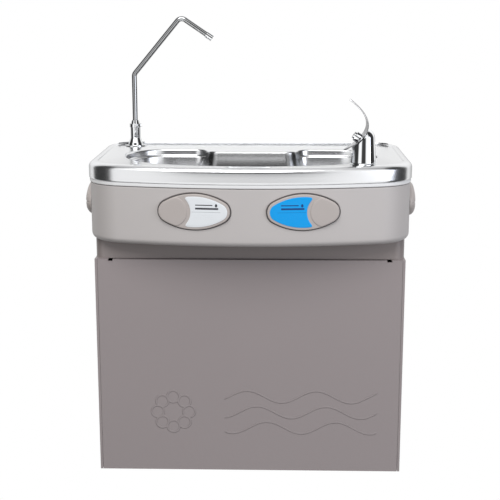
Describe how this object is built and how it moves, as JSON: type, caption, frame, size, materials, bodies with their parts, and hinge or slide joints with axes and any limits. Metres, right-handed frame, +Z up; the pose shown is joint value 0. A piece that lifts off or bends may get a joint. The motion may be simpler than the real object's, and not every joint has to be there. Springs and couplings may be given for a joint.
{
  "type": "wall-hung drinking fountain",
  "caption": "Wall-hung chilled drinking fountain: steel basin on an oval-buttoned plastic housing over a painted cabinet, with a swivelling cup filler and a shielded bubbler.",
  "frame": {"origin": "centre of the four wall-bracket holes, on the wall face", "axes": "+Z up, +Y into the wall, the front faces -Y, +X to the right for someone facing the front"},
  "size_m": [0.4758, 0.2928, 0.6784],
  "materials": {
    "steel": "bright satin pressed stainless sheet",
    "chrome": "polished chrome plating",
    "frame_plastic": "light grey moulded frame",
    "housing_plastic": "fine-grained warm grey moulded plastic",
    "button_plastic": "satin grey moulded plastic",
    "bezel_plastic": "dark grey moulded plastic",
    "label_white": "white gloss film",
    "label_blue": "blue gloss film",
    "cabinet_paint": "fine-textured taupe grey paint",
    "neck_paint": "fine-textured grey paint",
    "galvanised": "zinc-coated sheet",
    "brass": "turned brass",
    "rubber": "matt black rubber",
    "black_plastic": "matt black moulded plastic",
    "white_plastic": "white moulded plastic",
    "hose_plastic": "grey flexible hose",
    "foam": "rigid insulating foam",
    "tank_steel": "drawn stainless tank",
    "copper": "drawn copper",
    "black_enamel": "black enamel",
    "aluminium": "plain aluminium",
    "filter_plastic": "blue moulded plastic",
    "screw_steel": "zinc-plated steel"
  },
  "bodies": {
    "cabinet": {"wall_bracket": "galvanised", "back_panel": "galvanised", "base_pan": "galvanised", "left_side_panel": "cabinet_paint", "right_side_panel": "cabinet_paint", "front_panel": "cabinet_paint", "neck_frame": "neck_paint", "upper_housing": "housing_plastic", "basin_frame": "frame_plastic", "basin": "steel", "drain_strainer": "chrome", "drain_body": "chrome", "drain_nut": "black_plastic", "drain_hose": "hose_plastic", "drain_outlet": "black_plastic", "spout_base": "chrome", "spout_nut": "brass", "bubbler_base": "chrome", "bubbler_body": "chrome", "mouth_guard": "chrome", "bubbler_nozzle": "chrome", "bubbler_nut": "brass", "front_left_bezel": "bezel_plastic", "front_right_bezel": "bezel_plastic", "left_side_bezel": "bezel_plastic", "right_side_bezel": "bezel_plastic", "button_switches": "black_plastic", "chiller_shelf": "galvanised", "insulation_front": "foam", "insulation_back": "foam", "chiller_tank": "tank_steel", "evaporator_coil": "copper", "compressor": "black_enamel", "compressor_mounts": "rubber", "condenser": "aluminium", "fan_shroud": "galvanised", "fan_motor": "tank_steel", "refrigerant_pipes": "copper", "filter_drier": "copper", "thermostat": "white_plastic", "terminal_box": "bezel_plastic", "cable_gland": "black_plastic", "water_inlet": "brass", "filter_head": "white_plastic", "solenoid_valves": "white_plastic", "supply_tubes": "white_plastic", "outlet_tubes": "white_plastic", "panel_screws": "screw_steel"},
    "front_left_actuator": {"front_left_button": "button_plastic", "ambient_label": "label_white"},
    "front_right_actuator": {"front_right_button": "button_plastic", "chilled_label": "label_blue"},
    "left_side_actuator": {"left_side_button": "button_plastic"},
    "right_side_actuator": {"right_side_button": "button_plastic"},
    "spout": {"spout_collar": "chrome", "spout_tube": "chrome", "spout_nozzle": "chrome"},
    "fan": {"fan_blade": "black_plastic"},
    "knob": {"thermostat_knob": "black_plastic"},
    "filter": {"filter_cartridge": "filter_plastic"}
  },
  "joints": [
    {"name": "front_left_press", "type": "slide", "parent": "cabinet", "child": "front_left_actuator", "axis": [0.1032, 0.9947, 0], "range_m": [0, 0.0035], "stiffness_N_per_m": 900},
    {"name": "front_right_press", "type": "slide", "parent": "cabinet", "child": "front_right_actuator", "axis": [-0.1032, 0.9947, 0], "range_m": [0, 0.0035], "stiffness_N_per_m": 900},
    {"name": "left_side_press", "type": "slide", "parent": "cabinet", "child": "left_side_actuator", "axis": [1, 0, 0], "range_m": [0, 0.0035], "stiffness_N_per_m": 900},
    {"name": "right_side_press", "type": "slide", "parent": "cabinet", "child": "right_side_actuator", "axis": [-1, 0, 0], "range_m": [0, 0.0035], "stiffness_N_per_m": 900},
    {"name": "spout_swivel", "type": "hinge", "parent": "cabinet", "child": "spout", "pos_m": [-0.186, -0.028, 0.3168], "axis": [0, 0, 1], "range_deg": [-110, 5]},
    {"name": "fan_spin", "type": "hinge", "parent": "cabinet", "child": "fan", "pos_m": [-0.164, -0.12, -0.086], "axis": [1, 0, 0], "continuous": true},
    {"name": "knob_turn", "type": "hinge", "parent": "cabinet", "child": "knob", "pos_m": [0.118, -0.0783, 0.028], "axis": [0, -1, 0], "range_deg": [0, 270]},
    {"name": "filter_twist", "type": "hinge", "parent": "cabinet", "child": "filter", "pos_m": [0.187, -0.15, -0.046], "axis": [0, 0, 1], "range_deg": [0, 90]}
  ]
}
